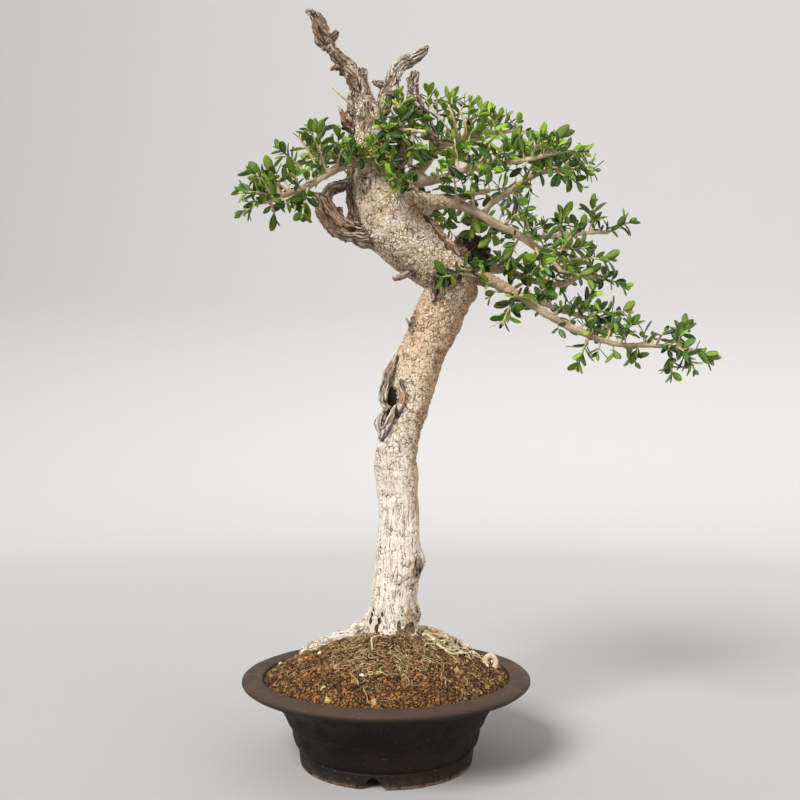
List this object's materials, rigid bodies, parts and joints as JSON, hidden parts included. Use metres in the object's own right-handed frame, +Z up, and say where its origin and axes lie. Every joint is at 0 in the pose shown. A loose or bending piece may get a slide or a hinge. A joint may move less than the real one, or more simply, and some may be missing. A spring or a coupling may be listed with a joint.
{
  "type": "olive bonsai in a pot",
  "caption": "Old olive bonsai with a leaning trunk, bleached dead snags and small-leaved pads, growing in a round flared unglazed pot.",
  "frame": {"origin": "middle of the whole tree's box, at the height the pot's foot stands on", "axes": "+Z up, along the tree's height; -Y faces the viewer of the tree's front; +X to the side the low branch reaches"},
  "size_m": [0.523, 0.316, 0.8347],
  "materials": {
    "pot": "unglazed dark brown stoneware, matt, pale worn edges",
    "drain_screen": "dull black moulded screen",
    "soil": "granular reddish-brown potting grit with fine roots",
    "wood": "rough plated bark, bleached low down, grey-brown deadwood",
    "leaf": "small leathery evergreen leaves, glossy dark green above, paler olive below"
  },
  "bodies": {
    "root": {"pot": "pot", "drain_screen": "drain_screen", "soil": "soil", "wood": "wood", "spray_01": "leaf", "spray_02": "leaf", "spray_03": "leaf", "spray_04": "leaf", "spray_05": "leaf", "spray_06": "leaf", "spray_07": "leaf", "spray_08": "leaf", "spray_09": "leaf", "spray_10": "leaf", "spray_11": "leaf", "spray_12": "leaf", "spray_13": "leaf", "spray_14": "leaf", "spray_15": "leaf", "spray_16": "leaf", "spray_17": "leaf", "spray_18": "leaf", "spray_19": "leaf", "spray_20": "leaf", "spray_21": "leaf", "spray_22": "leaf", "spray_23": "leaf", "spray_24": "leaf", "spray_25": "leaf", "spray_26": "leaf", "spray_27": "leaf", "spray_28": "leaf", "spray_29": "leaf", "spray_30": "leaf", "spray_31": "leaf", "spray_32": "leaf", "spray_33": "leaf", "spray_34": "leaf", "spray_35": "leaf", "spray_36": "leaf", "spray_37": "leaf", "spray_38": "leaf", "spray_39": "leaf", "spray_40": "leaf", "spray_41": "leaf", "spray_42": "leaf", "spray_43": "leaf", "spray_44": "leaf"}
  },
  "joints": []
}
